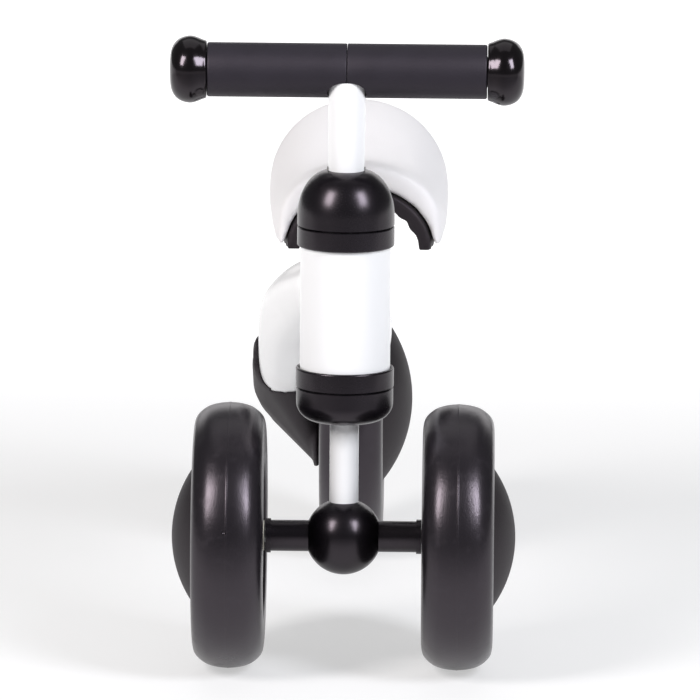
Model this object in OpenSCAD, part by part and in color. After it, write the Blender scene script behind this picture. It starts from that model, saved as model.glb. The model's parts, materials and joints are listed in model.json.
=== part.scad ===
// Toddler balance bike: two small front wheels steer under an upright head,
// one larger rear wheel runs beside a single arm, and a saddle sits on top.
// +Z is up, the front faces -Y, and +X is on the right seen from the front.
// The origin is on the floor, under the middle of the bounding box.

/* [Wheels] */
// Distance between the front and rear axles
wheelbase = 357; // [354:1:370]
// Radius of a front wheel
front_r = 80; // [78:1:81]
// Radius of the rear wheel
rear_r = 96; // [94:1:97]
// Distance between the middles of the two front wheels
track = 137; // [136:1:142]
// Width of a front tyre
tyre_w = 43; // [42:0.5:44]
// Width of the rear tyre
rear_tyre_w = 40.4; // [39:0.2:41]
// Radius of the front axle rod
front_rod_r = 4; // [3.5:0.5:4]
// Radius of the rear axle bolt
rear_rod_r = 5; // [4.5:0.5:5]

/* [Steering head] */
// Radius of the white sleeve
sleeve_r = 27; // [26:0.5:27]
// Height of the underside of the fixed head
head_z0 = 171.5; // [170:0.5:173]
// Height of the top of the fixed head
head_z1 = 269; // [267:0.5:272]
// Radius of the black caps
cap_r = 29; // [29:0.5:30]
// Radius of the steerer tube
steerer_r = 8.7; // [8.5:0.1:8.7]
// How far the handlebar turns to each side, in degrees
steer_limit = 67.5; // [45:0.5:70]

/* [Handlebar] */
// Height of the crossbar's centre line
bar_z = 361.5; // [358:0.5:370]
// Half of the handlebar's whole length
bar_half = 105.5; // [105:0.5:110]
// How far the crossbar sits behind the stem
bar_back = 3.9; // [3:0.1:4.5]
// Radius of a grip
grip_r = 16.2; // [15.5:0.1:17]
// Radius of an end cap
end_cap_r = 20; // [19:0.5:21]
// Length of an end cap
end_cap_w = 22; // [20:1:24]

/* [Seat] */
// Position of the seat post behind the middle of the bike
post_y = 0; // [-5:1:5]
// Radius of the seat post
post_r = 12.7; // [12.5:0.1:12.7]
// Height of the saddle's lower edge
skirt_z = 238; // [238:1:240]

/* [Hidden] */

round_fn = 96;
white = "whitesmoke";
black = "#26262a";
steel = "silver";

front_y = front_r - (front_r + wheelbase + rear_r) / 2;
rear_y = front_y + wheelbase;
run_gap = 0.07;      // radial clearance of a turning or sliding fit
side_gap = 0.4;      // end clearance between a wheel and what carries it

ball_r = 23;
axle_tube_r = 9.35;
wheel_half = tyre_w / 2;
rear_half = rear_tyre_w / 2;
wheel_side = track / 2 - wheel_half;
spacer_w = 3;
bush_len = 12;
flange_w = 1.5;
web_inset = 2;       // how far a wheel core's inner face lies inside the tyre's side
bush_out = 12;       // a hub's outer face, from the middle of its wheel
washer_w = 1.5;
nut_w = 6.5;

head_tube_r = 17;
head_bore_r = 15;
collar_h = 12;
steerer_z0 = front_r + 10;
steerer_z1 = 335;
stem_z0 = head_z1 + 7;
stem_r0 = 10.65;
stem_r1 = 11.35;
dome_top = 302.3;
crossbar_r = 11.1;
button_z = 303.5;
button_r = 0.9;
fork_screw_z = front_r + 15.5;
lug_size = [20, 64, 30];
lug_z = 199;
bolt_offsets = [48, 66];
carrier_r = 13;
carrier_x = -52;     // the carrier's outer end, from the middle of the rear wheel
carrier_w = 52 - rear_half + web_inset - 2 * flange_w + 0.6;

// The main beam's centre line with its half width and half height: [x, y, z, half_w, half_h]
BEAM = [
    [0, front_y + 10, 198, 27, 23], [0, front_y + 36, 199, 27.6, 22.5],
    [0, -100, 200, 27.6, 22], [0, -50, 200.5, 27, 21.5], [-6, -5, 199, 26, 21.5],
    [-22, 31, 188, 23.5, 21.5], [-36, 58, 170, 20.5, 21.5], [-40.5, 82, 149, 18, 21],
    [-41, 104, 134, 17.5, 21], [-41, 136, 114, 17, 19], [-41, 164, 99, 15, 17]
];
beam_steps = 5;
beam_sides = 32;

seat_tube_z = 183;
clamp_z = 225;
seat_bolt_z = 247;

// The saddle from nose to back: [y, half width, height of the top]
SEAT = [
    [-93, 47.8, 288.5], [-84, 49, 289.6], [-70, 50.5, 288.4], [-45, 51.8, 283], [-14, 53, 281.5],
    [22, 54, 286.5], [54, 54.5, 294], [80, 53.5, 300.5], [94, 51, 301.8], [103, 47, 298.5]
];
seat_steps = 2;
seat_x = 4.5;        // the saddle sits a little to the right of its post
seat_swing = 0.016;  // and its nose points a little further to the right
seat_arch_z = 256;
skirt_t = 4.2;
crown_t = 13.5;
soft_gap = 0.3;
base_t = 7.5;

// --- Shared shapes ---------------------------------------------------------

module tube(outer, inner, h) {
    difference() {
        cylinder(r = outer, h = h, $fn = round_fn);
        translate([0, 0, -1]) cylinder(r = inner, h = h + 2, $fn = round_fn);
    }
}

// A cylinder of the given radius along X, from x0 to x1
module bar_x(r, x0, x1, fn = 48) {
    translate([x0, 0, 0]) rotate([0, 90, 0]) cylinder(r = r, h = x1 - x0, $fn = fn);
}

module bar_y(r, y0, y1) {
    translate([0, y1, 0]) rotate([90, 0, 0]) cylinder(r = r, h = y1 - y0, $fn = 48);
}

module revolve() {
    rotate_extrude($fn = round_fn) children();
}

// A rectangle from radius r0 to r1 and height h0 to h1
module band(r0, r1, h0, h1) {
    translate([r0, h0]) square([r1 - r0, h1 - h0]);
}

// A disc section from the axis to radius r whose outer corners are rounded
module round_disc(r, h0, h1, corner) {
    band(0, r - corner, h0, h1);
    band(0, r, h0 + corner, h1 - corner);
    for (h = [h0 + corner, h1 - corner])
        translate([r - corner, h]) intersection() {
            circle(r = corner, $fn = round_fn);
            translate([-corner / 2, -corner]) square(2 * corner);
        }
}

module at_steering() {
    translate([0, front_y, 0]) children();
}

// Places a front wheel's pieces, whose axis is local Z and whose outside is local +Z
module at_front_wheel(side) {
    translate([side * track / 2, front_y, front_r]) rotate([0, side * 90, 0]) children();
}

module at_rear_wheel() {
    translate([0, rear_y, rear_r]) rotate([0, 90, 0]) children();
}

function unit(v) = v / norm(v);

// A point of a squarish oval with the half axes a and b
function oval(a, b, ang) =
    [a * sign(cos(ang)) * pow(abs(cos(ang)), 0.8), b * sign(sin(ang)) * pow(abs(sin(ang)), 0.8)];

// Catmull-Rom interpolation between knots i and i + 1
function knot(list, i) = list[max(0, min(len(list) - 1, i))];
function blend(list, i, t) =
    let (a = knot(list, i - 1), b = knot(list, i), c = knot(list, i + 1), d = knot(list, i + 2))
    0.5 * (2 * b + (c - a) * t + (2 * a - 5 * b + 4 * c - d) * t * t
        + (3 * b - a - 3 * c + d) * t * t * t);
function smooth_rows(list, steps) =
    [for (k = [0 : (len(list) - 1) * steps])
        let (i = min(floor(k / steps), len(list) - 2)) blend(list, i, k / steps - i)];

// A closed solid through rings of the same even number of points; each end is closed
// with strips between point i and point n - 1 - i
module loft(rings) {
    n = len(rings[0]);
    m = len(rings);
    sides = [for (j = [0 : m - 2], i = [0 : n - 1])
        [j * n + i, j * n + (i + 1) % n, (j + 1) * n + (i + 1) % n, (j + 1) * n + i]];
    first = [for (i = [0 : n / 2 - 2]) [i + 1, i, n - 1 - i, n - 2 - i]];
    last = [for (f = first) [for (k = [3 : -1 : 0]) f[k] + (m - 1) * n]];
    polyhedron(points = [for (r = rings, p = r) p], faces = concat(sides, first, last),
        convexity = 8);
}

// --- Steering head, fixed half ---------------------------------------------

module head_sleeve() {
    color(white) at_steering() difference() {
        translate([0, 0, head_z0 + 3.5]) tube(sleeve_r, sleeve_r - 2.5, head_z1 - head_z0 - 7.5);
        translate([-lug_size[0] / 2, 0, lug_z - lug_size[2] / 2])
            cube([lug_size[0], 40, lug_size[2]]);
    }
}

module head_tube() {
    color(steel) at_steering() translate([0, 0, head_z0 + 2])
        tube(head_tube_r, head_bore_r, head_z1 - head_z0 - 4);
}

module upper_collar() {
    color(black) at_steering() revolve() {
        band(sleeve_r + 0.2, cap_r, head_z1 - collar_h, head_z1 - 0.3);
        band(head_tube_r + 0.1, cap_r, head_z1 - 4, head_z1 - 0.3);
    }
}

module lower_collar() {
    color(black) at_steering() revolve() {
        band(sleeve_r + 0.4, cap_r + 0.3, head_z0 + 0.3, head_z0 + collar_h);
        band(head_tube_r + 0.1, cap_r + 0.3, head_z0 + 0.3, head_z0 + 3.5);
    }
}

// A flanged bush that fills the end of the head tube; its flange is at height 0
module head_bush() {
    color("ivory") revolve() {
        band(steerer_r + run_gap, head_tube_r, 0, 1.6);
        band(steerer_r + run_gap, head_bore_r, 1.6, 17.6);
    }
}

module upper_bush() {
    at_steering() translate([0, 0, head_z1 - 0.4]) mirror([0, 0, 1]) head_bush();
}

module lower_bush() {
    at_steering() translate([0, 0, head_z0 + 0.4]) head_bush();
}

// The ring that the stop pin swings in; its pocket is open at the back
module stop_ring() {
    pin_angle = steer_limit + asin(2 / 9.2) + 0.6;
    color(steel) at_steering() translate([0, 0, 214]) difference() {
        tube(head_bore_r, 9.2, 12);
        translate([0, 0, -1]) intersection() {
            cylinder(r = 13.4, h = 14, $fn = round_fn);
            linear_extrude(14) polygon(concat([[0, 0]],
                [for (k = [-4 : 4]) 30 * [sin(pin_angle * k / 4), cos(pin_angle * k / 4)]]));
        }
    }
}

// The welded block that carries the beam
module head_lug() {
    color(steel) at_steering() difference() {
        translate([-lug_size[0] / 2, head_tube_r - 4, lug_z - lug_size[2] / 2]) cube(lug_size);
        cylinder(r = head_tube_r, h = 2 * lug_z, $fn = round_fn);
        for (y = bolt_offsets) translate([0, y, lug_z]) bar_x(3, -20, 20);
    }
}

module beam_bolts() {
    color(steel) at_steering() for (y = bolt_offsets) translate([0, y, lug_z]) {
        bar_x(3, -24, 24);
        bar_x(5.5, -26.6, -24);
        bar_x(5.5, 24, 26.6);
    }
}

// --- Beam and rear hub -----------------------------------------------------

function beam_ring(rows, i) =
    let (here = rows[i],
        next = knot(rows, i + 1),
        prev = knot(rows, i - 1),
        along = unit([for (k = [0 : 2]) next[k] - prev[k]]),
        side = unit(cross(along, [0, 0, 1])),
        up = cross(side, along))
    [for (k = [0 : beam_sides - 1])
        let (p = oval(here[3], here[4], 360 * k / beam_sides))
        [here[0], here[1], here[2]] + side * p[0] + up * p[1]];

module beam_solid() {
    rows = smooth_rows(BEAM, beam_steps);
    loft([for (i = [0 : len(rows) - 1]) beam_ring(rows, i)]);
}

module main_beam() {
    color(white) difference() {
        beam_solid();
        at_steering() {
            cylinder(r = sleeve_r, h = 2 * lug_z, $fn = round_fn);
            translate([-lug_size[0] / 2, 0, lug_z - lug_size[2] / 2])
                cube([lug_size[0], head_tube_r - 4 + lug_size[1], lug_size[2]]);
            cylinder(r = cap_r + 0.6, h = head_z0 + collar_h + 0.3, $fn = round_fn);
            for (y = bolt_offsets) translate([0, y, lug_z]) {
                bar_x(3, -30, 30);
                bar_x(5.5, 24, 40);
                bar_x(5.5, -40, -24);
            }
        }
        translate([0, post_y, seat_tube_z]) cylinder(r = post_r + 2.3, h = 60, $fn = 48);
        at_rear_wheel() translate([0, 0, -80]) cylinder(r = carrier_r, h = 80, $fn = 48);
    }
}

// The bulge that wraps the beam's end, shrunk by t for its hollow
module hub_bulge(t) {
    hull() {
        translate([-41, 112, 129]) sphere(r = 22 - t, $fn = 32);
        translate([-41, 140, 112]) sphere(r = 22 - t, $fn = 32);
        translate([-41, rear_y, rear_r + 2]) sphere(r = 19 - t, $fn = 32);
        at_rear_wheel() translate([0, 0, -rear_half - 4]) cylinder(r = 41 - t, h = 2, $fn = 64);
    }
}

// The collar round the mouth where the beam goes in, square to the beam there
module socket_lip() {
    translate([-41, 102, 135.5]) rotate([125, 0, 0]) hull()
        for (rise = [-3.4, 3.4])
            translate([0, rise, 0]) cylinder(r = 21.2, h = 10, center = true, $fn = 64);
}

module rear_hub_shell() {
    color(black) difference() {
        union() {
            at_rear_wheel() translate([0, 0, -rear_half - 4.4])
                cylinder(r = 44, h = 3.6, $fn = round_fn);
            difference() {
                union() {
                    hub_bulge(0);
                    socket_lip();
                }
                hub_bulge(3);
            }
        }
        beam_solid();
        at_rear_wheel() {
            translate([0, 0, -80]) cylinder(r = carrier_r, h = 80, $fn = 48);
            translate([0, 0, -rear_half - 0.8]) cylinder(r = rear_r + 4, h = 80, $fn = round_fn);
        }
    }
}

// The metal plug that is clamped in the beam and holds the rear axle
module axle_carrier() {
    color(steel) at_rear_wheel() difference() {
        translate([0, 0, carrier_x]) cylinder(r = carrier_r, h = carrier_w, $fn = 48);
        translate([0, 0, carrier_x - 1]) cylinder(r = rear_rod_r, h = carrier_w + 2, $fn = 48);
        translate([0, 0, carrier_x - 1]) cylinder(r = 8, h = 7, $fn = 48);
    }
}

module rear_axle() {
    color(steel) at_rear_wheel() {
        translate([0, 0, carrier_x]) cylinder(r = 8, h = 6, $fn = 48);
        translate([0, 0, carrier_x + 5]) cylinder(r = rear_rod_r, h = 21 - carrier_x, $fn = 48);
    }
}

// A washer and a hexagon nut on a rod; the washer's inner face is at height 0
module washer_and_nut(rod, flats, nut_h) {
    difference() {
        union() {
            cylinder(r = flats * 0.62, h = washer_w, $fn = 48);
            translate([0, 0, washer_w]) cylinder(r = flats / sqrt(3), h = nut_h, $fn = 6);
        }
        translate([0, 0, -1]) cylinder(r = rod, h = nut_h + 4, $fn = 48);
    }
}

module rear_axle_nut() {
    color(steel) at_rear_wheel() translate([0, 0, bush_out + flange_w + side_gap])
        washer_and_nut(rear_rod_r, 17, 8);
}

// --- Seat ------------------------------------------------------------------

module seat_tube() {
    color(steel) translate([0, post_y, seat_tube_z])
        tube(post_r + 2.3, post_r + run_gap, clamp_z + 10 - seat_tube_z);
}

module clamp_ears(slit) {
    for (side = [-1, 1]) translate([side * (3.5 + slit / 2) - 3.5, 17, 0]) cube([7, 12, 10]);
}

module seat_clamp() {
    color(steel) translate([0, post_y, clamp_z]) difference() {
        union() {
            cylinder(r = post_r + 6.5, h = 10, $fn = round_fn);
            clamp_ears(2);
        }
        translate([0, 0, -1]) cylinder(r = post_r + 2.3, h = 12, $fn = round_fn);
        translate([-1, 0, -1]) cube([2, 40, 12]);
        translate([0, 24, 5]) bar_x(2.5, -20, 20);
    }
}

module clamp_screw() {
    color(steel) translate([0, post_y + 24, clamp_z + 5]) {
        bar_x(2.5, -9, 9);
        bar_x(4.5, 8, 12);
        bar_x(4.6, -12, -8, 6);
    }
}

module seat_post() {
    color(steel) translate([0, post_y, 0]) difference() {
        translate([0, 0, seat_tube_z + 2]) tube(post_r, post_r - 2, 76);
        translate([0, 0, seat_bolt_z]) bar_x(2.5, -20, 20);
    }
}

// The outline of an arch with straight legs: half width w, crown height top, leg foot at z0
function arch(w, top, spring_z, z0, n) = concat(
    [[w, z0]],
    [for (k = [0 : n]) [w * cos(180 * k / n), spring_z + (top - spring_z) * sin(180 * k / n)]],
    [[-w, z0]]);
function reversed(list) = [for (i = [len(list) - 1 : -1 : 0]) list[i]];
function lift(outline, y) = [for (p = outline) [seat_x - seat_swing * (y - 50) + p[0], y, p[1]]];

seat_rows = smooth_rows(SEAT, seat_steps);
arch_n = 35;

// The vault that the cushion lies on, at one station of the saddle
function vault(row, gap, t) =
    arch(row[1] - skirt_t - gap - t, row[2] - crown_t - gap - t, skirt_z + 1, skirt_z, arch_n);
// The same vault's inner side, with shallow scallops that run along the seat
function scalloped(row, t) =
    let (w = row[1] - skirt_t - soft_gap, top = row[2] - crown_t - soft_gap)
    concat([[w - t, skirt_z]],
        [for (k = [0 : arch_n])
            let (a = 180 * k / arch_n, bump = a < 18 || a > 162 ? 0 : 2 * abs(sin(10 * a)))
            [(w - t - bump) * cos(a), skirt_z + 1 + (top - skirt_z - 1 - t - bump) * sin(a)]],
        [[t - w, skirt_z]]);

module seat_cushion() {
    color(white) loft([for (row = seat_rows)
        lift(concat(arch(row[1], row[2], seat_arch_z, skirt_z, arch_n),
            reversed(vault(row, 0, 0))), row[0])]);
}

// Part of the vault between two stations, t thick
module vault_shell(first, last, t) {
    loft([for (i = [first : last])
        lift(concat(vault(seat_rows[i], soft_gap, 0), reversed(scalloped(seat_rows[i], t))),
            seat_rows[i][0])]);
}

module seat_base() {
    last = len(seat_rows) - 1;
    back = seat_rows[last - 1];
    color(black) difference() {
        union() {
            vault_shell(0, last, base_t);
            loft([for (dy = [-2, 1]) lift(vault(back, soft_gap + 1, 0), back[0] + dy)]);
            translate([0, post_y, skirt_z]) cylinder(r = post_r + 4.5, h = 28, $fn = 64);
        }
        translate([0, post_y, skirt_z - 1]) cylinder(r = post_r, h = 27, $fn = 64);
        translate([0, post_y, seat_bolt_z]) bar_x(2.5, -20, 20);
    }
}

module seat_bolt() {
    color(steel) translate([0, post_y, seat_bolt_z]) {
        bar_x(2.5, -18, 18);
        bar_x(4.5, 17.3, 20.5);
        bar_x(4.6, -20.5, -17.3, 6);
    }
}

// --- Steering, turning half ------------------------------------------------

module steerer_tube() {
    color(white) at_steering() difference() {
        translate([0, 0, steerer_z0]) tube(steerer_r, steerer_r - 2, steerer_z1 - steerer_z0);
        translate([0, 0, button_z]) bar_x(button_r + 0.1, -12, 12);
        translate([0, 0, 220]) bar_y(2, -12, 12);
        translate([0, 0, fork_screw_z]) bar_y(2, 0, 12);
    }
}

module stem() {
    color(white) at_steering() difference() {
        union() {
            translate([0, 0, stem_z0]) cylinder(r = stem_r0, h = dome_top - stem_z0, $fn = round_fn);
            translate([0, 0, dome_top])
                cylinder(r1 = stem_r0, r2 = stem_r1, h = bar_z - 5.5 - dome_top, $fn = round_fn);
        }
        translate([0, 0, stem_z0 - 1])
            cylinder(r = steerer_r + 0.05, h = steerer_z1 - stem_z0 + 2, $fn = round_fn);
        translate([0, bar_back, bar_z]) bar_x(crossbar_r, -20, 20, round_fn);
        translate([0, 0, button_z]) bar_x(button_r + 0.1, -14, 14);
    }
}

module crossbar() {
    color(steel) translate([0, front_y + bar_back, bar_z]) difference() {
        bar_x(crossbar_r, end_cap_w - bar_half + 6, bar_half - end_cap_w - 6, round_fn);
        bar_x(crossbar_r - 2, -bar_half, bar_half);
    }
}

module grip(side) {
    inner = 0.15;
    outer = bar_half - end_cap_w - 0.3;
    color(black) difference() {
        translate([0, front_y + bar_back, bar_z]) mirror([side < 0 ? 1 : 0, 0, 0]) difference() {
            bar_x(grip_r, inner, outer, round_fn);
            bar_x(crossbar_r, -1, bar_half, round_fn);
        }
        at_steering() translate([0, 0, bar_z - 40])
            cylinder(r = stem_r1 + 0.1, h = 34.7, $fn = round_fn);
    }
}

module left_grip() {
    grip(-1);
}

module right_grip() {
    grip(1);
}

module end_cap(side) {
    color(black) translate([0, front_y + bar_back, bar_z]) rotate([0, side * 90, 0])
        translate([0, 0, bar_half - end_cap_w]) {
            revolve() round_disc(end_cap_r, 0, end_cap_w, 8);
            translate([0, 0, -20]) cylinder(r = crossbar_r - 2, h = 21, $fn = 48);
        }
}

module left_end_cap() {
    end_cap(-1);
}

module right_end_cap() {
    end_cap(1);
}

// Half of a dome's section: straight to spring_z, then a quarter oval up to the top
module dome_section(r, flat_r, z0, spring_z, top) {
    polygon(concat([[0, z0], [r, z0]],
        [for (k = [0 : 16])
            [flat_r + (r - flat_r) * cos(90 * k / 16), spring_z + (top - spring_z) * sin(90 * k / 16)]],
        [[0, top]]));
}

module upper_dome() {
    z0 = head_z1 + 0.2;
    color(black) at_steering() revolve() difference() {
        dome_section(cap_r, 10, z0, z0 + 5.7, dome_top);
        translate([0, -0.01]) dome_section(cap_r - 2.4, 10, z0, z0 + 5.7, dome_top - 2.4);
        band(-1, stem_r0 + 0.05, z0 - 1, dome_top + 1);
    }
}

module lower_dome() {
    z1 = head_z0 - 0.2;
    color(black) at_steering() translate([0, 0, z1]) mirror([0, 0, 1]) revolve() difference() {
        dome_section(cap_r, 17, 0, 9, 20.3);
        translate([0, -0.01]) dome_section(cap_r - 2.4, 16, 0, 9, 17.9);
        band(-1, steerer_r, -1, 22);
    }
}

module crown_ring() {
    color(steel) at_steering() translate([0, 0, head_z0 - 17.6]) tube(14, steerer_r, 17.6);
}

module top_ring() {
    color(steel) at_steering() translate([0, 0, head_z1 + 0.2]) tube(14, steerer_r, 6.8);
}

module stop_pin() {
    color(steel) at_steering() translate([0, 0, 220]) bar_y(2, -8.7, 13);
}

module ball_hub() {
    color(black) at_steering() difference() {
        translate([0, 0, front_r]) sphere(r = ball_r, $fn = round_fn);
        translate([0, 0, steerer_z0]) cylinder(r = steerer_r, h = 40, $fn = round_fn);
        translate([0, 0, front_r]) {
            bar_x(axle_tube_r, 12, 40);
            bar_x(axle_tube_r, -40, -12);
            bar_x(front_rod_r + 0.1, -13, 13);
        }
        translate([0, 0, fork_screw_z]) {
            bar_y(2, 5, 30);
            bar_y(3.6, 13.5, 30);
        }
    }
}

module fork_screw() {
    color(steel) at_steering() translate([0, 0, fork_screw_z]) {
        bar_y(2, 5, 14);
        bar_y(3.5, 13.5, 15.5);
    }
}

module axle_tube(side) {
    color(black) at_steering() translate([0, 0, front_r]) mirror([side < 0 ? 1 : 0, 0, 0])
        difference() {
            bar_x(axle_tube_r, 12, wheel_side - spacer_w - 0.4);
            bar_x(front_rod_r + 0.1, 0, 60);
        }
}

module left_axle_tube() {
    axle_tube(-1);
}

module right_axle_tube() {
    axle_tube(1);
}

module axle_spacers() {
    color(black) for (side = [-1, 1])
        translate([side * (wheel_side - 0.4), front_y, front_r]) rotate([0, -side * 90, 0])
            tube(axle_tube_r + 1, front_rod_r + 0.1, spacer_w);
}

module front_axle() {
    color(steel) at_steering() translate([0, 0, front_r])
        bar_x(front_rod_r, -track / 2 - 23, track / 2 + 23);
}

module front_axle_nuts() {
    color(steel) for (side = [-1, 1])
        at_front_wheel(side) translate([0, 0, bush_out + flange_w + side_gap])
            washer_and_nut(front_rod_r, 13, nut_w);
}

// The folded spring that pushes the two buttons outwards, from under them
module button_spring() {
    color(steel) at_steering() for (side = [-1, 1]) {
        translate([side * 5.7 - 0.4, -2, button_z - 24]) cube([0.8, 4, 21]);
        translate([side < 0 ? -6.1 : 0, -2, button_z - 24.8]) cube([6.1, 4, 0.8]);
    }
}

module button(side) {
    color("dimgray") at_steering() translate([0, 0, button_z]) mirror([side < 0 ? 1 : 0, 0, 0])
        bar_x(button_r, 5.2, 11.4);
}

module left_button() {
    button(-1);
}

module right_button() {
    button(1);
}

// --- Wheels: the axis is local Z and the outside is local +Z -----------------

// Half of a tyre's outline from the tread's middle to the bore: [below the tread, share of w]
TYRE = [
    [0, 0], [0.4, 0.25], [1.3, 0.45], [2.4, 0.6], [4.3, 0.74], [6.6, 0.86], [9.2, 0.945],
    [12.5, 0.985], [17, 1], [24, 1]
];

// A tyre of outer radius r that is 2 w wide, with a slightly crowned tread and sloping shoulders
module tyre(r, bore, w) {
    half = concat([for (p = TYRE) [r - p[0], p[1] * w]], [[bore + 1.5, w - 0.3], [bore, w - 1.5]]);
    color(black) revolve() polygon(concat(half, [for (p = reversed(half)) [p[0], -p[1]]]));
}

// A dished core: a rim, a closed inner web, a hub and ribs
module wheel_core(rim, hub, bush_r, half, rim_top, ribs) {
    web = web_inset - half;
    color(black) {
        revolve() {
            band(rim - 6, rim, web, rim_top);
            band(bush_r, rim, web, web + 3.5);
            band(bush_r, hub, web, bush_out);
        }
        for (k = [0 : ribs - 1]) rotate([0, 0, 360 * k / ribs])
            translate([hub - 1, -1.5, web + 3]) cube([rim - hub - 4, 3, 17]);
    }
}

// Two flanged bushes, one at each end of the hub
module bushes(rod, bush_r, half) {
    color("ivory") for (end = [0, 1])
        translate([0, 0, end ? bush_out : web_inset - half]) mirror([0, 0, end ? 1 : 0]) revolve() {
            band(rod + run_gap, bush_r, 0, bush_len);
            band(rod + run_gap, bush_r + 2, -flange_w, 0);
        }
}

// A spherical cover of ball radius R with its peak at height top, out to radius edge
module wheel_dome(R, top, edge, skirt_r) {
    t = 2;
    color(black) revolve() {
        intersection() {
            difference() {
                translate([0, top - R]) circle(r = R, $fn = 2 * round_fn);
                translate([0, top - R]) circle(r = R - t, $fn = 2 * round_fn);
            }
            band(0, edge, 0, top + 1);
        }
        difference() {
            band(skirt_r - 2.2, skirt_r, 8, top);
            translate([0, top - R]) difference() {
                translate([0, 0]) square([2 * R, 2 * R]);
                circle(r = R - t / 2, $fn = 2 * round_fn);
            }
        }
    }
}

front_rim = 50;
front_hub = 12;
front_bush = 7;
rear_rim = 60;
rear_hub = 14;
rear_bush = 8.5;
front_dome_R = 72;
front_dome_top = wheel_half + 13;
rear_dome_R = 84;
rear_dome_top = rear_half + 18;
front_dome_edge = front_rim - 1.5;
rear_dome_edge = rear_rim - 1.5;
// Height at which a dome's inner face ends, where it rests on the rim
function dome_foot(R, top, edge) = top - R + sqrt(R * R - edge * edge);

module front_core() {
    wheel_core(front_rim, front_hub, front_bush, wheel_half,
        dome_foot(front_dome_R - 2, front_dome_top - 2, front_dome_edge) - 0.1, 6);
}

module left_tyre() {
    at_front_wheel(-1) tyre(front_r, front_rim, wheel_half);
}

module right_tyre() {
    at_front_wheel(1) tyre(front_r, front_rim, wheel_half);
}

module left_wheel_core() {
    at_front_wheel(-1) front_core();
}

module right_wheel_core() {
    at_front_wheel(1) front_core();
}

module left_bushes() {
    at_front_wheel(-1) bushes(front_rod_r, front_bush, wheel_half);
}

module right_bushes() {
    at_front_wheel(1) bushes(front_rod_r, front_bush, wheel_half);
}

module left_wheel_dome() {
    at_front_wheel(-1) wheel_dome(front_dome_R, front_dome_top, front_dome_edge, front_rim - 6.1);
}

module right_wheel_dome() {
    at_front_wheel(1) wheel_dome(front_dome_R, front_dome_top, front_dome_edge, front_rim - 6.1);
}

module rear_tyre() {
    at_rear_wheel() tyre(rear_r, rear_rim, rear_half);
}

module rear_wheel_core() {
    at_rear_wheel() wheel_core(rear_rim, rear_hub, rear_bush, rear_half,
        dome_foot(rear_dome_R - 2, rear_dome_top - 2, rear_dome_edge) - 0.1, 8);
}

module rear_bushes() {
    at_rear_wheel() bushes(rear_rod_r, rear_bush, rear_half);
}

module rear_wheel_dome() {
    at_rear_wheel() wheel_dome(rear_dome_R, rear_dome_top, rear_dome_edge, rear_rim - 6.1);
}

head_sleeve();
head_tube();
upper_collar();
lower_collar();
upper_bush();
lower_bush();
stop_ring();
head_lug();
beam_bolts();
main_beam();
rear_hub_shell();
axle_carrier();
rear_axle();
rear_axle_nut();
seat_tube();
seat_clamp();
clamp_screw();
seat_post();
seat_base();
seat_cushion();
seat_bolt();
steerer_tube();
stem();
crossbar();
left_grip();
right_grip();
left_end_cap();
right_end_cap();
upper_dome();
lower_dome();
crown_ring();
top_ring();
stop_pin();
ball_hub();
fork_screw();
left_axle_tube();
right_axle_tube();
axle_spacers();
front_axle();
front_axle_nuts();
button_spring();
left_button();
right_button();
left_tyre();
left_wheel_core();
left_bushes();
left_wheel_dome();
right_tyre();
right_wheel_core();
right_bushes();
right_wheel_dome();
rear_tyre();
rear_wheel_core();
rear_bushes();
rear_wheel_dome();
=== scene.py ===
# %% [markdown]
# # A toddler's balance bike
# The bike's frame, wheels, joints and sizes come from a CAD model that is loaded first and never changed.
# This lesson gives it its looks: softer shapes for the foam, the padding and the moulded plastic, a finish
# for every surface, and a white studio. All lengths are in metres, +Z is up and the bike faces -Y.

# %% load the frame
import json
from math import cos, degrees, pi, radians, sin

import bpy
from mathutils import Matrix, Vector


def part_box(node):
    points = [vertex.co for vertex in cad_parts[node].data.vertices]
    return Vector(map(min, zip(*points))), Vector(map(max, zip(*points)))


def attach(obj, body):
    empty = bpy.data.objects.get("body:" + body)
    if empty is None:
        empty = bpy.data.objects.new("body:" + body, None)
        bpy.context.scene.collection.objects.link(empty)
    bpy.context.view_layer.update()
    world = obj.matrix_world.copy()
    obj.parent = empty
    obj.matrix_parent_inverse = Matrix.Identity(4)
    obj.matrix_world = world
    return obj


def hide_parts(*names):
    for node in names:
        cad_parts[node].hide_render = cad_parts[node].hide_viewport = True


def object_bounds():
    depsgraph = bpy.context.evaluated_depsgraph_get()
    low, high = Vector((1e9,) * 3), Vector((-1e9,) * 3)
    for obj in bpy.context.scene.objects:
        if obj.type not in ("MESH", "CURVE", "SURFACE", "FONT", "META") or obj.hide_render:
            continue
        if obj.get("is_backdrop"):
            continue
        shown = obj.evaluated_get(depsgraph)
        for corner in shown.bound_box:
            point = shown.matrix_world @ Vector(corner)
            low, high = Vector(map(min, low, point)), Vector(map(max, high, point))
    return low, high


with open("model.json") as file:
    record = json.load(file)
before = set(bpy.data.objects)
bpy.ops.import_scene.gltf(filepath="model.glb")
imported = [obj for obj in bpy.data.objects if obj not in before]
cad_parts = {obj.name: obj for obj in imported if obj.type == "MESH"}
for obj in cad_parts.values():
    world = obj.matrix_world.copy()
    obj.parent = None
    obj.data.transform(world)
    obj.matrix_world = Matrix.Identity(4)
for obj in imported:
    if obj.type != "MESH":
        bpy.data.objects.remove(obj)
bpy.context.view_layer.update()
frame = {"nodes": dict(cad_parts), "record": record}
nodes = frame["nodes"]
MM = 0.001

# %% [markdown]
# ## Helpers for modelling
# Operators act on whatever is selected, and the loaded nodes all start selected. So each piece begins with a
# clean selection, and ends with its object at the origin and its place kept in its mesh.


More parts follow.
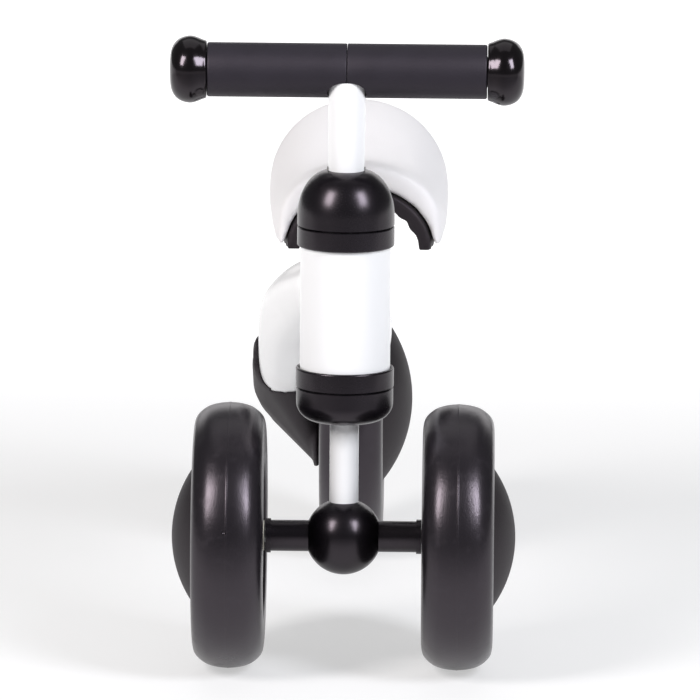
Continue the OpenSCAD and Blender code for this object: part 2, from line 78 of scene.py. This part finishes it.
# %% selection and places
def only(*objects):
    """Selects these objects alone; the first is the active one."""
    if bpy.context.mode != "OBJECT":
        bpy.ops.object.mode_set(mode="OBJECT")
    bpy.ops.object.select_all(action="DESELECT")
    for thing in objects:
        thing.select_set(True)
    bpy.context.view_layer.objects.active = objects[0]


def centre(node):
    """The middle of a CAD node's box."""
    low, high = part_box(node)
    return (low + high) / 2


def half(node, axis):
    """Half of the size of a CAD node's box along x, y or z."""
    low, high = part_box(node)
    return getattr(high - low, axis) / 2


# %% edits that every piece shares
def apply_modifier(piece, kind, **settings):
    """Adds one modifier, sets it and applies it."""
    only(piece)
    modifier = piece.modifiers.new(kind.title(), kind)
    for key, value in settings.items():
        setattr(modifier, key, value)
    bpy.ops.object.modifier_apply(modifier=modifier.name)


def cut_away(piece, cutter):
    """Cuts the cutter's shape out of a piece, and removes the cutter."""
    apply_modifier(piece, "BOOLEAN", operation="DIFFERENCE", object=cutter, solver="EXACT")
    bpy.data.objects.remove(cutter)


def clean(piece):
    """Merges doubled corners and turns every face outwards."""
    only(piece)
    bpy.ops.object.mode_set(mode="EDIT")
    bpy.ops.mesh.select_all(action="SELECT")
    bpy.ops.mesh.remove_doubles(threshold=0.01 * MM)
    bpy.ops.mesh.normals_make_consistent(inside=False)
    bpy.ops.object.mode_set(mode="OBJECT")


def smooth(piece, angle):
    """Rounds the shading over edges flatter than the angle."""
    only(piece)
    bpy.ops.object.shade_smooth_by_angle(angle=radians(angle))


def finished(piece, name, body, slot, finish, *stands_for):
    """Names a piece, gives it its finish and hands it to its body."""
    piece.name = piece.data.name = name
    piece.data.materials.clear()
    piece.data.materials.append(finish)
    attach(piece, body)
    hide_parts(*stands_for)
    print("made", name, "with", len(piece.data.polygons), "faces")


# %% [markdown]
# ## Helpers for finishes
# A finish is a small network of shader nodes. Written node by node it is hard to read, so a `Wire` stands for
# one output, and adding or multiplying wires adds the Math nodes. A `Finish` is the material they belong to.


# %% wires
class Wire:
    """One output of a shader node. Arithmetic on it adds Math nodes."""

    def __init__(self, finish, socket):
        self.finish = finish
        self.socket = socket

    def __add__(self, other):
        return self.finish.maths("ADD", self, other)

    def __mul__(self, other):
        return self.finish.maths("MULTIPLY", self, other)

    def __sub__(self, other):
        return self.finish.maths("SUBTRACT", self, other)

    def __rsub__(self, other):
        return self.finish.maths("SUBTRACT", other, self)

    __radd__ = __add__
    __rmul__ = __mul__

    def over(self, edge, width):
        """0 below the edge and 1 above it, with a soft step of this width."""
        low, high = edge - width / 2, edge + width / 2
        return self.finish.add("ShaderNodeMapRange", settings={"interpolation_type": "SMOOTHSTEP"},
                               inputs={"Value": self, "From Min": low, "From Max": high})


# %% a material under construction
class Finish:
    """A material whose plain numbers are given at the start and whose patterns are fed in later."""

    def __init__(self, name, **plain):
        self.material = bpy.data.materials.new(name)
        self.material.use_nodes = True
        self.tree = self.material.node_tree
        self.shader = self.tree.nodes["Principled BSDF"]
        self.place = self.add("ShaderNodeTexCoord", out="Object")
        for key, value in plain.items():
            self.shader.inputs[key.replace("_", " ").title().replace("Ior", "IOR")].default_value = value

    def add(self, kind, out=0, settings=None, inputs=None):
        """Adds a node: its settings first, then its sockets. Returns one of its outputs."""
        node = self.tree.nodes.new(kind)
        for key, value in (settings or {}).items():
            setattr(node, key, value)
        for key, value in (inputs or {}).items():
            if isinstance(value, Wire):
                self.tree.links.new(value.socket, node.inputs[key])
            else:
                node.inputs[key].default_value = value
        return Wire(self, node.outputs[out])

    def maths(self, operation, a, b):
        """One Math node on two wires or numbers."""
        return self.add("ShaderNodeMath", settings={"operation": operation}, inputs={0: a, 1: b})

    def noise(self, size, detail=3, stretch=(1, 1, 1)):
        """Cloudy noise from 0 to 1 whose blobs are about `size` metres across."""
        at = self.add("ShaderNodeMapping", inputs={"Vector": self.place, "Scale": stretch})
        return self.add("ShaderNodeTexNoise", inputs={"Vector": at, "Scale": 1 / size, "Detail": detail})

    def cells(self, size, feature="F1"):
        """Little round cells about `size` metres across."""
        return self.add("ShaderNodeTexVoronoi", out="Distance", settings={"feature": feature},
                        inputs={"Vector": self.place, "Scale": 1 / size})

    def blend(self, share, a, b):
        """Colour a where share is 0 and colour b where it is 1."""
        a, b = (colour if isinstance(colour, Wire) else (*colour, 1) for colour in (a, b))
        return self.add("ShaderNodeMix", out=2, settings={"data_type": "RGBA"}, inputs={0: share, 6: a, 7: b})

    def feed(self, socket, wire):
        """Links a wire to one of the shader's own sockets."""
        self.tree.links.new(wire.socket, self.shader.inputs[socket])

    def relief(self, height, depth):
        """Turns a height from 0 to 1 into bumps of this depth in metres."""
        self.feed("Normal", self.add("ShaderNodeBump", out="Normal",
                                     inputs={"Height": height, "Distance": depth, "Strength": 1.0}))


# %% [markdown]
# ## Foam, rubber and moulded plastic
# The tyres are closed-cell foam: a skin that is nearly smooth, with faint cells, cloudy sheen and a little
# dust worked into the tread. The grips are a softer, duller foam with visible pores. The hard black parts are
# satin plastic with a fine spark-eroded grain, except the bar ends, which are polished. All of these blacks
# have a faint violet cast to their sheen, which is the shared tint `DUSK`.

# %% tyre foam
DUSK = (1.0, 0.87, 0.98, 1)


def tyre_foam():
    f = Finish("tyre foam", specular_ior_level=0.6, specular_tint=DUSK)
    cloud = f.noise(0.03, 4)
    skin = f.noise(0.0013)
    rubbed = f.noise(0.006, 5).over(0.62, 0.2)
    dust = cloud * 0.5 + rubbed * 0.3
    f.feed("Base Color", f.blend(dust, (0.0075, 0.0066, 0.0082), (0.0165, 0.0145, 0.0178)))
    f.feed("Roughness", 0.25 + cloud * 0.08 + rubbed * 0.06)
    f.relief(skin + f.cells(0.0008) * 0.3, 0.00006)
    return f.material


# %% grip foam
def grip_foam():
    f = Finish("grip foam", specular_ior_level=0.5, specular_tint=DUSK)
    pores = f.cells(0.0008)
    worn = f.noise(0.02, 4)
    f.feed("Base Color", f.blend(worn, (0.0085, 0.0078, 0.011), (0.016, 0.0148, 0.0215)))
    f.feed("Roughness", 0.46 + worn * 0.12)
    f.relief(pores + f.noise(0.003, 2) * 0.5, 0.00008)
    return f.material


# %% black plastics
def satin_plastic():
    f = Finish("satin black plastic", specular_ior_level=0.5, specular_tint=DUSK)
    grain = f.noise(0.0006)
    flow = f.noise(0.05, 2)
    f.feed("Base Color", f.blend(flow, (0.0028, 0.0024, 0.0032), (0.006, 0.0052, 0.0066)))
    f.feed("Roughness", 0.22 + flow * 0.05 + grain * 0.04)
    f.relief(grain, 0.000012)
    return f.material


def dull_plastic():
    f = Finish("grained black plastic", specular_ior_level=0.42, specular_tint=DUSK)
    grain = f.cells(0.0009) + f.noise(0.0006, 2) * 0.6
    flow = f.noise(0.04)
    f.feed("Base Color", f.blend(flow, (0.0065, 0.0052, 0.0058), (0.013, 0.0106, 0.0116)))
    f.feed("Roughness", 0.5 + flow * 0.12)
    f.relief(grain, 0.00005)
    return f.material


def polished_plastic():
    f = Finish("polished black plastic", specular_ior_level=0.5, specular_tint=DUSK)
    flow = f.noise(0.02, 2)
    hairline = f.noise(0.0015, 2, stretch=(8, 1, 1)).over(0.72, 0.1)
    f.feed("Base Color", f.blend(flow, (0.0025, 0.002, 0.0022), (0.004, 0.0034, 0.0038)))
    f.feed("Roughness", 0.13 + flow * 0.05 + hairline * 0.1)
    f.relief(flow, 0.00003)
    return f.material


TYRE = tyre_foam()
GRIP = grip_foam()
SATIN = satin_plastic()
DULL = dull_plastic()
POLISHED = polished_plastic()
print("black finishes:", TYRE.name, GRIP.name, SATIN.name, DULL.name, POLISHED.name)

# %% [markdown]
# ## White finishes
# The steel of the head, stem and fork is powder coated: a clear gloss with the soft ripple called orange
# peel. The beam is a glossy moulding. The saddle's skin is leatherette, a fine pebbled grain in a matt plastic
# film, a little warmer than the paint.


# %% powder coat and gloss plastic
def powder_coat():
    f = Finish("white powder coat", coat_weight=0.2, coat_roughness=0.12, specular_ior_level=0.5)
    peel = f.noise(0.0022, 2)
    cloud = f.noise(0.03)
    f.feed("Base Color", f.blend(cloud, (0.925, 0.925, 0.932), (0.934, 0.934, 0.939)))
    f.feed("Roughness", 0.28 + cloud * 0.04)
    f.relief(peel, 0.000008)
    return f.material


def gloss_moulding():
    f = Finish("white gloss moulding", coat_weight=0.2, coat_roughness=0.1, specular_ior_level=0.5)
    flow = f.noise(0.05, 2)
    f.feed("Base Color", f.blend(flow, (0.935, 0.933, 0.94), (0.955, 0.953, 0.955)))
    f.feed("Roughness", 0.2 + flow * 0.08)
    f.relief(f.noise(0.004, 2), 0.00001)
    return f.material


# %% leatherette
def leatherette():
    f = Finish("white leatherette", sheen_weight=0.1, specular_ior_level=0.35)
    pebble = 0.0013
    pebbles = f.cells(pebble)
    edge = f.cells(pebble, feature="DISTANCE_TO_EDGE").over(0.06, 0.1)
    handled = f.noise(0.035, 4)
    # Darker where handled, which is a real tone, and in the creases between the pebbles, which is painted
    # shade.
    handled_and_crease_shade = handled * 0.6 + (1 - edge) * 0.25
    f.feed("Base Color", f.blend(handled_and_crease_shade, (0.965, 0.945, 0.95), (0.925, 0.905, 0.91)))
    f.feed("Roughness", 0.46 + handled * 0.14)
    f.relief(edge - pebbles * 0.5 + f.noise(0.008, 2) * 0.6, 0.00007)
    return f.material


COAT = powder_coat()
MOULDING = gloss_moulding()
LEATHERETTE = leatherette()
print("white finishes:", COAT.name, MOULDING.name, LEATHERETTE.name)

# %% [markdown]
# ## Metal and nylon
# Few of these show, but a part that is taken apart shows them all: zinc-plated steel with a drawn grain,
# darker spring steel, black lacquer on the seat clamp and waxy nylon bearings.


# %% steel
def plated_steel(name, tone, rough, grain):
    """Bare or plated steel of a grey tone, with streaks across the long direction of `grain`."""
    f = Finish(name, metallic=1.0)
    streak = f.noise(0.004, 4, stretch=grain)
    bloom = f.noise(0.012)
    shade = 0.82 * tone
    f.feed("Base Color", f.blend(bloom, (tone * 1.02, tone, tone * 0.98), (shade, shade, shade)))
    f.feed("Roughness", rough + streak * 0.16 + bloom * 0.08)
    f.relief(streak, 0.00001)
    return f.material


def lacquered_steel():
    f = Finish("black lacquered steel", coat_weight=0.25, coat_roughness=0.15)
    peel = f.noise(0.002, 2)
    f.feed("Base Color", f.blend(f.noise(0.02), (0.012, 0.012, 0.013), (0.022, 0.021, 0.022)))
    f.feed("Roughness", 0.36 + peel * 0.1)
    f.relief(peel, 0.00003)
    return f.material


# %% nylon
def nylon():
    f = Finish("natural nylon", subsurface_weight=0.1, subsurface_radius=(0.003, 0.003, 0.002))
    cloud = f.noise(0.006)
    f.feed("Base Color", f.blend(cloud, (0.76, 0.73, 0.62), (0.68, 0.64, 0.52)))
    f.feed("Roughness", 0.38 + cloud * 0.1)
    f.relief(f.noise(0.0009, 2), 0.00003)
    return f.material


# %% a finish for every CAD node
FINISH_OF_SLOT = {
    "white_paint": COAT,
    "white_gloss_plastic": MOULDING,
    "steel": plated_steel("zinc plated steel", 0.6, 0.26, grain=(1, 1, 14)),
    "spring_steel": plated_steel("spring steel", 0.5, 0.2, grain=(14, 1, 1)),
    "black_plastic": SATIN,
    "black_paint": lacquered_steel(),
    "nylon": nylon(),
    "grip_foam": GRIP,
    "gloss_black_plastic": POLISHED,
    "tyre_foam": TYRE,
    "white_leatherette": LEATHERETTE,
}
for part in frame["record"]["subparts"]:
    mesh = nodes[part["node"]].data
    mesh.materials.clear()
    mesh.materials.append(FINISH_OF_SLOT[part["material_slot"]])

# %% [markdown]
# ## Turned shapes
# Tyres, domes, collars and bar ends are round about one axis. The quickest honest way to make them is a
# lathe: draw half of the section and spin it. An outline is a list of (radius, height) points; `arc` adds its
# round stretches, so that only real corners are listed one by one.


# %% a lathe
def arc(radius, height, r, start, end, steps, tall=None):
    """Points on part of an oval: its centre, its half width r, two angles in degrees, and its half height."""
    tall = r if tall is None else tall
    turns = [radians(start + (end - start) * k / steps) for k in range(steps + 1)]
    return [(radius + r * cos(a), height + tall * sin(a)) for a in turns]


def eased(points, passes=2):
    """Rounds the corners of an outline by cutting each of them off, again and again; the ends stay."""
    for _ in range(passes):
        cut = [points[0]]
        for (r0, h0), (r1, h1) in zip(points, points[1:]):
            cut.append((0.75 * r0 + 0.25 * r1, 0.75 * h0 + 0.25 * h1))
            cut.append((0.25 * r0 + 0.75 * r1, 0.25 * h0 + 0.75 * h1))
        points = cut + [points[-1]]
    return points


def turned(outline, place, axis, steps):
    """Spins an outline about its axis, and stands it at `place` with its height along `axis`."""
    mesh = bpy.data.meshes.new("turned")
    rows = [(max(radius, 0.0), 0.0, height) for radius, height in outline]
    mesh.from_pydata(rows, [(k, k + 1) for k in range(len(rows) - 1)], [])
    piece = bpy.data.objects.new("turned", mesh)
    bpy.context.collection.objects.link(piece)
    only(piece)
    bpy.ops.object.mode_set(mode="EDIT")
    bpy.ops.mesh.select_all(action="SELECT")
    bpy.ops.mesh.spin(steps=steps, angle=2 * pi, center=(0, 0, 0), axis=(0, 0, 1))
    bpy.ops.object.mode_set(mode="OBJECT")
    clean(piece)
    turn = Vector(axis).to_track_quat("Z", "Y").to_matrix().to_4x4()
    piece.data.transform(Matrix.Translation(place) @ turn)
    return piece


# %% [markdown]
# ## Tyres
# Each tyre is one foam moulding: a nearly flat tread, sloping shoulders and straight sides. The two halves of
# its mould leave a fine raised line round the middle of the tread, and each front tyre has one small vent
# dimple. The section is half an outline, eased and mirrored, then spun about the axle.

# %% a tyre's section
# From the middle of the tread to the side: (millimetres below the tread, share of the half width)
TREAD = [(0.4, 0.25), (1.3, 0.45), (2.4, 0.6), (4.3, 0.74), (6.6, 0.86), (9.2, 0.945), (12.5, 0.985), (17, 1),
         (24, 1)]


def tyre_outline(r, bore, half_width):
    """The whole closed section: bore, side, shoulder, tread with its mould line, and back."""
    seam, rise, lip = 0.3 * MM, 0.09 * MM, 1.4 * MM
    crown = [(r - rise / 3, seam * 1.7)] + [(r - depth * MM, share * half_width) for depth, share in TREAD]
    side = eased(crown + [(bore + lip, half_width - seam), (bore, half_width - lip)])
    ridge = [(r + rise * 5 / 9, seam), (r + rise, 0.0), (r + rise * 5 / 9, -seam)]
    return side[::-1] + ridge + [(radius, -height) for radius, height in side] + [side[-1]]


# %% tyres
# Each wheel's name, its body, and the side that its cover faces
WHEELS = (("left", "left_front_wheel", -1), ("right", "right_front_wheel", 1), ("rear", "rear_wheel", 1))
VENT = {"left": 12.5, "right": 200}  # where a front tyre's dimple is, in degrees up from its foremost point
VENT_R = 1.5 * MM
SLACK = 0.2 * MM  # a tyre is this much smaller than its CAD solid, so that it never sinks into the floor


def dimple(piece, place):
    """Cuts a small round hollow into a piece."""
    bpy.ops.object.select_all(action="DESELECT")
    bpy.ops.mesh.primitive_uv_sphere_add(segments=24, ring_count=16, radius=VENT_R, location=place)
    cut_away(piece, bpy.context.object)


for name, body, _ in WHEELS:
    node = name + "_tyre"
    hub, r = centre(node), half(node, "z")
    section = tyre_outline(r - SLACK, half(name + "_wheel_core", "z"), half(node, "x"))
    tyre = turned(section, hub, (1, 0, 0), steps=160)
    if name in VENT:
        up, reach, beside_seam = radians(VENT[name]), r + 0.3 * MM, -1.2 * MM
        dimple(tyre, hub + Vector((beside_seam, -reach * cos(up), reach * sin(up))))
    smooth(tyre, 30)
    finished(tyre, name + "_foam_tyre", body, "tyre_foam", TYRE, node)

# %% [markdown]
# ## Wheel covers
# A shallow black dome snaps over each wheel's outer side. Its edge turns in with a small radius and sits in a
# shadow gap inside the tyre, which the plain CAD shell can't show.

# %% wheel covers
COVER_BALL = {"left": 72 * MM, "right": 72 * MM, "rear": 84 * MM}  # the ball that each dome is a cap of


def cover_outline(ball, reach, peak):
    """A cap of a ball, out to this reach and up to this peak, with a rolled edge, a skirt and a thin wall."""
    wall, edge, skirt = 1.8 * MM, 1.6 * MM, 4 * MM
    lean = degrees((reach - edge) / ball)
    outline = arc(0, peak - ball, ball, 90, 90 - lean, 32)
    r, h = outline[-1]
    outline += [(r + edge * 0.7, h - edge * 0.5), (r + edge, h - edge * 1.3)]
    outline += [(r + edge, h - skirt), (r + edge - wall, h - skirt)]
    return outline + arc(0, peak - ball, ball - wall, 90 - lean, 90, 32)


for name, body, side in WHEELS:
    node = name + "_wheel_dome"
    low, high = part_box(node)
    hub = centre(name + "_tyre")
    peak = max(hub.x - low.x, high.x - hub.x)
    cover = turned(cover_outline(COVER_BALL[name], half(node, "z"), peak), hub, (side, 0, 0), steps=128)
    smooth(cover, 40)
    finished(cover, name + "_wheel_cover", body, "black_plastic", DULL, node)

# %% [markdown]
# ## The head's domes and collars
# Two black domes turn with the fork, and two black collars stay with the head sleeve. Where a dome meets its
# collar there is only a hair's width of seam, and the free edges of the collars are softly rounded.

# %% domes and collars
head = centre("head_sleeve")
head.z = 0
RIM = 0.5 * MM  # the bevel on the rim of a dome or a collar
STEM_R = 10.65 * MM  # the stem's radius where it leaves the upper dome


def dome(node, up, hole, flat, straight):
    """A domed cap: straight wall, then an oval shoulder up to a flat round its central hole."""
    low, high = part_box(node)
    r, tall, wall, bevel = half(node, "x"), high.z - low.z, 2.4 * MM, 0.6 * MM
    outline = [(r - wall, 0.0), (r - RIM, 0.0), (r, RIM)]
    outline += arc(flat, straight, r - flat, 0, 90, 28, tall - straight)
    outline += [(hole + bevel, tall), (hole, tall - bevel), (hole, tall - wall)]
    outline += arc(flat, straight, r - flat - wall, 90, 0, 20, tall - straight - wall)
    outline.append(outline[0])
    foot = Vector((head.x, head.y, low.z if up > 0 else high.z))
    return turned(outline, foot, (0, 0, up), steps=128)


def collar(node, up):
    """A cup-shaped ring round the sleeve's end, with its free edge rounded."""
    low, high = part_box(node)
    r, tall = half(node, "x"), high.z - low.z
    seat, wall, floor_t, edge = 17.1 * MM, 1.8 * MM, 3.5 * MM, 1.1 * MM
    outline = [(seat, 0.0), (r - RIM, 0.0), (r, RIM)]
    outline += arc(r - edge, tall - edge, edge, 0, 90, 6)
    outline += [(r - wall, tall), (r - wall, floor_t), (seat, floor_t), (seat, 0.0)]
    foot = Vector((head.x, head.y, low.z if up > 0 else high.z))
    return turned(outline, foot, (0, 0, up), steps=128)


for node, piece, body in (
    ("upper_dome", dome("upper_dome", 1, STEM_R + 0.05 * MM, 10 * MM, 5.7 * MM), "steering"),
    ("lower_dome", dome("lower_dome", -1, half("steerer_tube", "x"), 17 * MM, 9 * MM), "steering"),
    ("upper_collar", collar("upper_collar", -1), "frame"),
    ("lower_collar", collar("lower_collar", 1), "frame"),
):
    smooth(piece, 40)
    finished(piece, "head_" + node, body, "black_plastic", SATIN, node)

# %% [markdown]
# ## Bar ends
# The bulbous bar ends are polished mouldings, like a mushroom: flat against the grip, round at the rim and
# slightly crowned on the end. They are turned from one outline.

# %% bar ends
# (radius, distance outwards from the grip) in millimetres: the plug in the bar, then the bulb
PLUG = [(0, -18), (9.1, -18), (9.1, 0), (16.4, 0)]
BULB = [(16.4, 0), (17.1, 0.3), (17.7, 2.4), (19.1, 5.6), (19.95, 8.6), (19.9, 11.4), (18.9, 15.2),
        (16.6, 18.6), (12.6, 21), (7.5, 21.9), (0, 22)]
BULB_R = 19.9

for name, side in (("left", -1), ("right", 1)):
    node = name + "_end_cap"
    low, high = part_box(node)
    middle = centre(node)
    tip = high.x if side > 0 else low.x
    grow = half(node, "z") / BULB_R
    outline = [(radius * grow, height * MM) for radius, height in PLUG + eased(BULB, 3)[1:]]
    end = turned(outline, Vector((tip - side * BULB[-1][1] * MM, middle.y, middle.z)), (side, 0, 0), steps=96)
    smooth(end, 50)
    finished(end, name + "_bar_end", "steering", "gloss_black_plastic", POLISHED, node)

# %% [markdown]
# ## Grips
# Each grip is a foam sleeve from the bar end to the middle of the bar, where the two meet in a thin dark
# line. Below, they are scooped out to let the stem through. The sleeve is turned, the stem's shape is cut
# away, and so is an arch in front, where the foam is pressed aside.

# %% grips
BAR_R = 11.1 * MM  # the steel bar inside the foam
STEM_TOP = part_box("stem")[1].z


def cut_cylinder(piece, place, r, depth, **more):
    """Cuts a cylinder out of a piece."""
    bpy.ops.object.select_all(action="DESELECT")
    bpy.ops.mesh.primitive_cylinder_add(vertices=96, radius=r, depth=depth, location=place, **more)
    cut_away(piece, bpy.context.object)


def grip_outline(r, long):
    """The foam's section from the middle of the bar outwards, with both outer edges rounded."""
    inner, outer = 0.6 * MM, 1.2 * MM
    outline = [(BAR_R, 0.0), (r - inner, 0.0)] + arc(r - inner, inner, inner, -90, 0, 4)
    outline += [(r, long * k / 6) for k in range(1, 6)]
    return outline + arc(r - outer, long - outer, outer, 0, 90, 5) + [(BAR_R, long), (BAR_R, 0.0)]


for name, side in (("left", -1), ("right", 1)):
    node = name + "_grip"
    low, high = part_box(node)
    middle = centre(node)
    start = Vector((low.x if side > 0 else high.x, middle.y, middle.z))
    grip = turned(grip_outline(half(node, "z"), high.x - low.x), start, (side, 0, 0), steps=96)
    depth, spare = 30 * MM, 0.3 * MM
    cut_cylinder(grip, (head.x, head.y, STEM_TOP + spare - depth / 2), half("stem", "x") + 0.2 * MM, depth)
    arch_r, arch_depth, drop = 11.6 * MM, 20 * MM, 6.8 * MM
    cut_cylinder(grip, (head.x, head.y - arch_depth / 2, STEM_TOP - drop), arch_r, arch_depth,
                 rotation=(radians(90), 0, 0), scale=(1, 0.61, 1))
    smooth(grip, 35)
    finished(grip, name + "_foam_grip", "steering", "grip_foam", GRIP, node)

# %% [markdown]
# ## Soft mouldings from the CAD shapes
# The beam, the bowl round the rear hub and the saddle's shell are flowing mouldings, whose CAD solids are
# made of flat facets. A copy of each is merged, rebuilt from small even faces and relaxed, which melts the
# facets and gives every edge the small radius that a mould leaves.


# %% mouldings
def softened(node, grid, rounds):
    """A copy of a CAD node with even faces of about `grid` metres and relaxed edges."""
    piece = nodes[node].copy()
    piece.data = nodes[node].data.copy()
    piece.parent = None
    for key in list(piece.keys()):
        del piece[key]
    bpy.context.collection.objects.link(piece)
    clean(piece)
    apply_modifier(piece, "REMESH", mode="VOXEL", voxel_size=grid)
    apply_modifier(piece, "SMOOTH", factor=0.5, iterations=rounds)
    smooth(piece, 180)
    return piece


beam = softened("main_beam", 0.0016, 18)
finished(beam, "beam_moulding", "frame", "white_gloss_plastic", MOULDING, "main_beam")
bowl = softened("rear_hub_shell", 0.0011, 10)
finished(bowl, "hub_bowl", "frame", "black_plastic", DULL, "rear_hub_shell")
shell = softened("seat_base", 0.0014, 4)
finished(shell, "saddle_shell", "saddle", "black_plastic", DULL, "seat_base")

# %% [markdown]
# ## The saddle's cushion
# The cushion is foam under a tight leatherette skin, draped over the vaulted shell. A cloth simulation blows
# up a skin that starts from the cushion's solid, so that its flanks swell and its edges pull in as on real
# padding. How far each point may move is capped, because the skin is glued down.

# %% cushion
PRESSURE, FRAMES, MOST = 4.0, 20, 0.0016


def cloth_puff(piece):
    """Inflates the piece a little with a cloth simulation, never moving a point more than MOST."""
    scene = bpy.context.scene
    only(piece)
    rest = [v.co.copy() for v in piece.data.vertices]
    cloth = piece.modifiers.new("Cloth", "CLOTH")
    cloth.settings.use_pressure = True
    cloth.settings.uniform_pressure_force = PRESSURE
    cloth.settings.effector_weights.gravity = 0
    cloth.settings.quality = 4
    cloth.point_cache.frame_start = 1
    cloth.point_cache.frame_end = FRAMES
    for at in range(1, FRAMES + 1):
        scene.frame_set(at)
    bpy.ops.object.modifier_apply(modifier=cloth.name)
    for vertex, start in zip(piece.data.vertices, rest):
        moved = vertex.co - start
        if moved.length > MOST:
            vertex.co = start + moved.normalized() * MOST
    scene.frame_set(1)


cushion = softened("seat_cushion", 0.0024, 6)
cloth_puff(cushion)
apply_modifier(cushion, "SMOOTH", factor=0.5, iterations=8)
apply_modifier(cushion, "SUBSURF", levels=1, render_levels=1)
smooth(cushion, 180)
finished(cushion, "saddle_cushion", "saddle", "white_leatherette", LEATHERETTE, "seat_cushion")

# %% [markdown]
# ## Studio
# A white sweep of floor, two tall soft boxes at either side of the camera, a broad one overhead and a low,
# wide one behind, which draws a pale rim along the tops of the black parts. The far floor glows, as a lit
# backdrop does, and the room itself is dim, so that the black parts stay black. In front of the bike the floor
# is greyer and doesn't glow, which keeps the lower half of each tyre dark.

# %% floor
GLOW = 0.48  # the share of the far glow that the floor already has from the front wheels backwards


def studio_floor():
    f = Finish("studio floor", roughness=0.6, specular_ior_level=0.2, emission_strength=1.05)
    back = f.add("ShaderNodeSeparateXYZ", out="Y", inputs={"Vector": f.place})
    away = f.add("ShaderNodeVectorMath", out="Value", settings={"operation": "LENGTH"}, inputs={0: f.place})
    glow = back.over(-0.44, 0.34) * GLOW + back.over(0.9, 1.2) * (1 - GLOW) + away.over(2.4, 1.0) * 0.5
    tone = f.blend(f.noise(0.4, 2), (0.47, 0.47, 0.473), (0.49, 0.49, 0.49))
    f.feed("Base Color", f.blend(back.over(-0.75, 0.6), (0.32, 0.32, 0.325), tone))
    f.feed("Emission Color", f.blend(glow, (0.0, 0.0, 0.0), (1.0, 1.0, 1.0)))
    return f.material


bpy.ops.object.select_all(action="DESELECT")
bpy.ops.mesh.primitive_plane_add(size=60, location=(0, 0, 0))
floor = bpy.context.object
floor.name = "studio_floor"
floor.data.materials.append(studio_floor())
floor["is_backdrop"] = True
print("floor laid")


# %% lights
def soft_box(name, azimuth, elevation, distance, size, power, tint):
    """A rectangular light aimed at the bike; azimuth 0 is in front and positive is to the right."""
    aim = Vector((0, -0.05, 0.2))
    a, e = radians(azimuth), radians(elevation)
    back = Vector((sin(a) * cos(e), -cos(a) * cos(e), sin(e)))
    light = bpy.data.lights.new(name, "AREA")
    light.shape = "RECTANGLE"
    light.size, light.size_y = size
    light.energy = power
    light.color = tint
    lamp = bpy.data.objects.new(name, light)
    lamp.location = aim + back * distance
    lamp.rotation_euler = (-back).to_track_quat("-Z", "Y").to_euler()
    bpy.context.collection.objects.link(lamp)


soft_box("left_soft_box", -44, 34, 2.2, (0.62, 1.0), 35, (1.0, 0.97, 0.965))
soft_box("right_soft_box", 44, 34, 2.2, (0.62, 1.0), 35, (0.925, 0.945, 1.0))
soft_box("top_soft_box", 180, 72, 2.6, (2.2, 2.2), 7, (1.0, 1.0, 1.0))
soft_box("back_soft_box", 180, 16, 2.7, (3.2, 1.1), 13, (1.0, 0.985, 0.99))
world = bpy.data.worlds.new("studio air")
world.use_nodes = True
air = world.node_tree.nodes["Background"].inputs
air["Color"].default_value = (0.97, 0.98, 1.0, 1)
air["Strength"].default_value = 0.11
bpy.context.scene.world = world
bpy.context.scene.view_settings.view_transform = "Standard"
print("studio lit")

# %% [markdown]
# ## Camera
# A long lens from five metres away, a little above the handlebar and looking down about ten degrees, almost
# exactly from the front. A long lens keeps the near wheels and the far one at nearly the same scale.

# %% camera
DISTANCE, HEIGHT, ASIDE, LENS = 5.0, 1.1216, 0.003, 438.0
PITCH, YAW, ROLL = 10.516, 0.8, 0.45
camera_data = bpy.data.cameras.new("camera")
camera_data.lens = LENS
camera_data.sensor_width = 36
camera_data.clip_end = 100
camera = bpy.data.objects.new("camera", camera_data)
around = radians(YAW)
camera.matrix_world = (
    Matrix.Translation((DISTANCE * sin(around) + ASIDE, head.y - DISTANCE * cos(around), HEIGHT))
    @ Matrix.Rotation(around, 4, "Z")
    @ Matrix.Rotation(radians(90 - PITCH), 4, "X")
    @ Matrix.Rotation(radians(ROLL), 4, "Z")
)
bpy.context.collection.objects.link(camera)
bpy.context.scene.camera = camera
print("camera at", tuple(round(v, 3) for v in camera.location))

# %% sizes
low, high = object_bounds()
